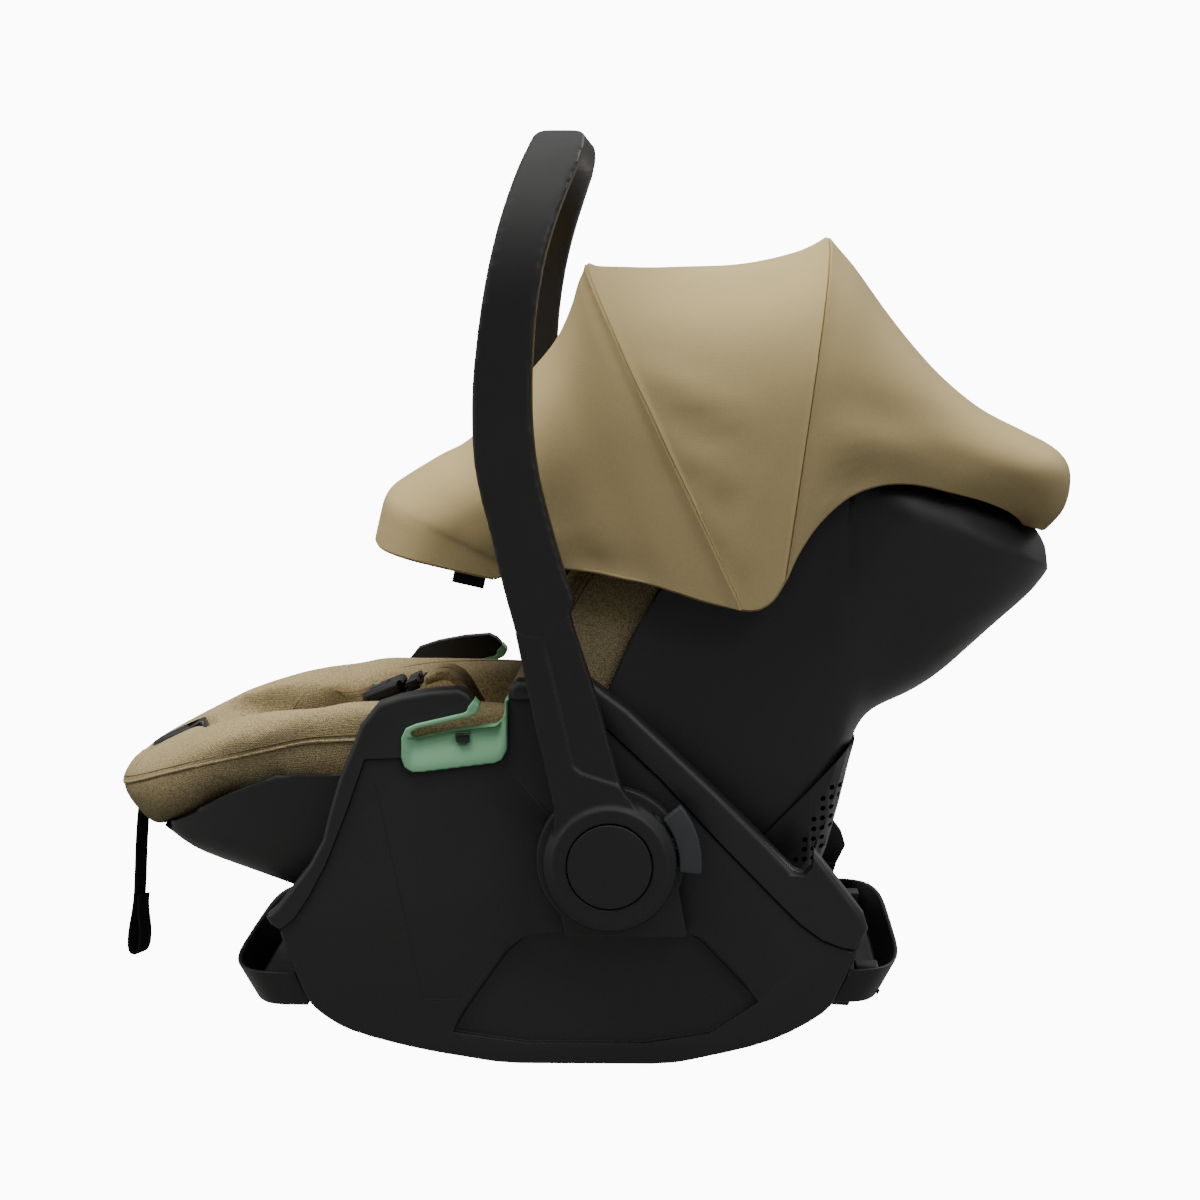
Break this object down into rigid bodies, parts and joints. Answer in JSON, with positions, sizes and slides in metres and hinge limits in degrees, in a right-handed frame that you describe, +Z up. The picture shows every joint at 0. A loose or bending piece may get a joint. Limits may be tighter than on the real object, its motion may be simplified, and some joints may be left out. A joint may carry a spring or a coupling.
{
  "type": "infant car seat",
  "caption": "Rear-facing infant car seat: rocker base with belt guides, reclining padded seat with harness, swinging carry handle and folding canopy.",
  "frame": {"origin": "on the ground, below the middle of the seat's bounding box", "axes": "+X towards the head end, +Y towards the sitting infant's right, +Z up"},
  "size_m": [0.675, 0.44, 0.633],
  "materials": {
    "black_plastic": "fine moulded grain",
    "trim_plastic": "satin",
    "mint_plastic": "satin",
    "grey_plastic": "satin",
    "gloss_black": "smooth",
    "lever_plastic": "smooth",
    "bush_plastic": "smooth",
    "steel": "zinc plated",
    "seat_fabric": "heathered knit",
    "canopy_fabric": "plain weave",
    "webbing": "woven webbing",
    "tag_fabric": "woven tape, bare"
  },
  "bodies": {
    "base": {"base_floor": "black_plastic", "front_tray": "trim_plastic", "rear_tray": "trim_plastic", "side_panel_left": "black_plastic", "side_panel_right": "black_plastic", "front_trim_left": "trim_plastic", "front_trim_right": "trim_plastic", "rail_left": "trim_plastic", "rail_right": "trim_plastic", "belt_guide_left": "mint_plastic", "belt_guide_right": "mint_plastic", "pivot_housing_left": "black_plastic", "pivot_housing_right": "black_plastic", "housing_screws": "steel", "axles": "steel", "lock_plates": "steel", "axle_screws": "steel", "rear_hooks": "black_plastic"},
    "seat": {"seat_shell": "black_plastic", "vent_cover": "black_plastic", "seat_liner": "seat_fabric", "leg_cushion": "seat_fabric", "bolster_left": "seat_fabric", "bolster_right": "seat_fabric", "side_wing_left": "seat_fabric", "side_wing_right": "seat_fabric", "seat_inlay": "seat_fabric", "recline_bushes": "bush_plastic", "canopy_pins": "gloss_black", "buckle": "gloss_black", "tongues": "gloss_black", "crotch_strap": "webbing", "crotch_pad": "seat_fabric", "shoulder_straps": "webbing", "shoulder_pads": "seat_fabric", "harness_adjuster": "gloss_black", "pull_strap": "webbing", "strap_tab": "gloss_black", "canopy_rear": "canopy_fabric"},
    "headrest": {"headrest_shell": "trim_plastic", "headrest_pad": "seat_fabric"},
    "handle": {"handle_bow": "black_plastic", "handle_leg_left": "black_plastic", "handle_leg_right": "black_plastic", "leg_insets": "black_plastic", "hub_caps": "black_plastic", "button_spring_left": "steel", "button_spring_right": "steel"},
    "button_left": {"handle_button_left": "grey_plastic"},
    "button_right": {"handle_button_right": "grey_plastic"},
    "catch_left": {"guide_catch_left": "gloss_black"},
    "catch_right": {"guide_catch_right": "gloss_black"},
    "release_button": {"buckle_button": "gloss_black"},
    "lever": {"adjuster_lever": "lever_plastic"},
    "rear_hoop": {"rear_bow": "gloss_black", "canopy_middle": "canopy_fabric"},
    "front_hoop": {"front_bow": "gloss_black", "canopy_visor": "canopy_fabric"},
    "visor": {"visor_hoop": "gloss_black", "tag": "tag_fabric"}
  },
  "joints": [
    {"name": "handle_swing", "type": "hinge", "parent": "base", "child": "handle", "pos_m": [0.017, 0, 0.1425], "axis": [0, 1, 0], "range_deg": [0, 105]},
    {"name": "seat_recline", "type": "hinge", "parent": "base", "child": "seat", "pos_m": [0.017, 0, 0.1425], "axis": [0, 1, 0], "range_deg": [0, 12]},
    {"name": "headrest_height", "type": "slide", "parent": "seat", "child": "headrest", "axis": [0.8131, 0, 0.5821], "range_m": [0, 0.06]},
    {"name": "handle_button_left_press", "type": "slide", "parent": "handle", "child": "button_left", "axis": [-0.9563, 0, -0.2924], "range_m": [0, 0.005], "stiffness_N_per_m": 1500, "springref_m": -0.001, "deforming": ["button_spring_left"]},
    {"name": "handle_button_right_press", "type": "slide", "parent": "handle", "child": "button_right", "axis": [-0.9563, 0, -0.2924], "range_m": [0, 0.005], "stiffness_N_per_m": 1500, "springref_m": -0.001, "deforming": ["button_spring_right"]},
    {"name": "guide_catch_left_press", "type": "slide", "parent": "base", "child": "catch_left", "axis": [0, 1, 0], "range_m": [0, 0.003], "stiffness_N_per_m": 800, "springref_m": -0.001},
    {"name": "guide_catch_right_press", "type": "slide", "parent": "base", "child": "catch_right", "axis": [0, -1, 0], "range_m": [0, 0.003], "stiffness_N_per_m": 800, "springref_m": -0.001},
    {"name": "buckle_release", "type": "slide", "parent": "seat", "child": "release_button", "axis": [0.3746, 0, -0.9272], "range_m": [0, 0.0015], "stiffness_N_per_m": 2500, "springref_m": -0.001},
    {"name": "harness_lever", "type": "hinge", "parent": "seat", "child": "lever", "pos_m": [-0.29106, 0, 0.20603], "axis": [0, -1, 0], "range_deg": [0, 12], "stiffness_Nm_per_rad": 0.4, "springref_deg": -5.73},
    {"name": "rear_hoop_fold", "type": "hinge", "parent": "seat", "child": "rear_hoop", "pos_m": [0.112, 0, 0.322], "axis": [0, 1, 0], "range_deg": [0, 40], "deforming": ["canopy_rear"]},
    {"name": "front_hoop_fold", "type": "hinge", "parent": "rear_hoop", "child": "front_hoop", "pos_m": [0.112, 0, 0.322], "axis": [0, 1, 0], "range_deg": [0, 30], "deforming": ["canopy_middle"]},
    {"name": "visor_fold", "type": "hinge", "parent": "front_hoop", "child": "visor", "pos_m": [0.112, 0, 0.322], "axis": [0, 1, 0], "range_deg": [0, 38], "deforming": ["canopy_visor"]}
  ]
}
